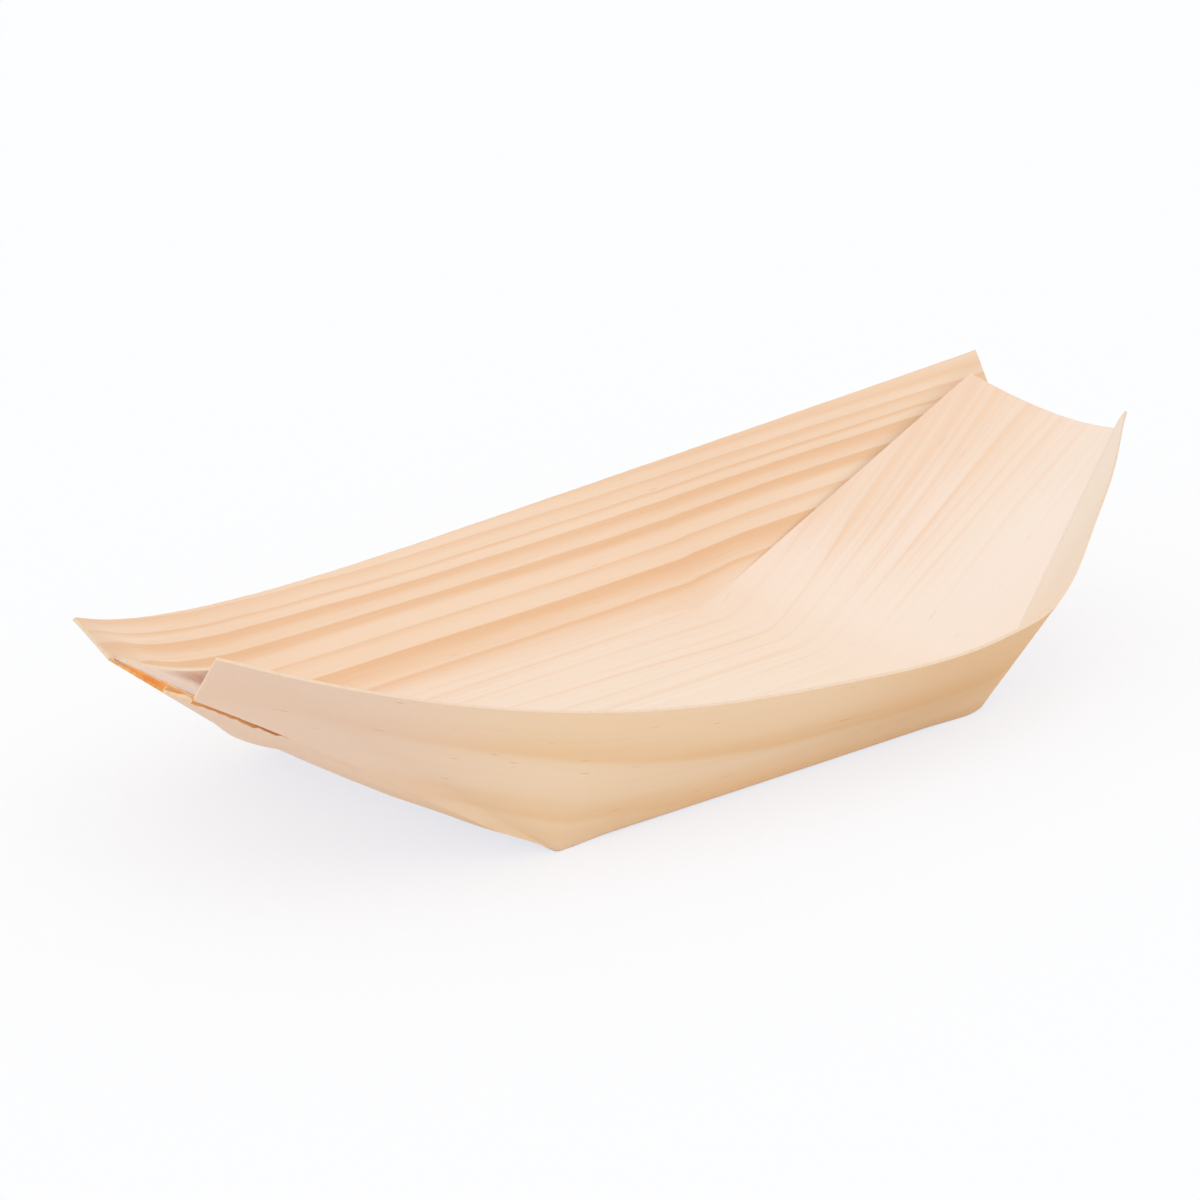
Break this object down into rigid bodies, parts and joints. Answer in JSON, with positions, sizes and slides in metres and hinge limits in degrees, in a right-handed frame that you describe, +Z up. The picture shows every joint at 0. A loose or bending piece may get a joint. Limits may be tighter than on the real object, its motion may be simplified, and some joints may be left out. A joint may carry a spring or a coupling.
{
  "type": "wooden snack boat",
  "caption": "Shallow boat-shaped serving tray folded from thin pine veneer, with flared walls, raised tips and ends tucked up, open on top for snacks.",
  "frame": {"origin": "on the surface the boat stands on, under the middle of its flat base", "axes": "+X along the length to the right end, +Y to the rear wall, +Z up; the front wall is at -Y"},
  "size_m": [0.2235, 0.1109, 0.0466],
  "materials": {
    "pale_veneer": "bare matt pine veneer, pale cream pink with fine lengthwise grain",
    "warm_veneer": "bare matt pine veneer, peach and orange lengthwise bands",
    "dried_glue": "thin dried glue film"
  },
  "bodies": {
    "root": {"floor_panel": "pale_veneer", "front_wall": "warm_veneer", "rear_wall": "warm_veneer", "front_left_corner_fold": "warm_veneer", "front_right_corner_fold": "warm_veneer", "rear_left_corner_fold": "warm_veneer", "rear_right_corner_fold": "warm_veneer", "front_left_seam_glue": "dried_glue", "front_left_fold_glue": "dried_glue", "front_right_seam_glue": "dried_glue", "front_right_fold_glue": "dried_glue", "rear_left_seam_glue": "dried_glue", "rear_left_fold_glue": "dried_glue", "rear_right_seam_glue": "dried_glue", "rear_right_fold_glue": "dried_glue"}
  },
  "joints": []
}
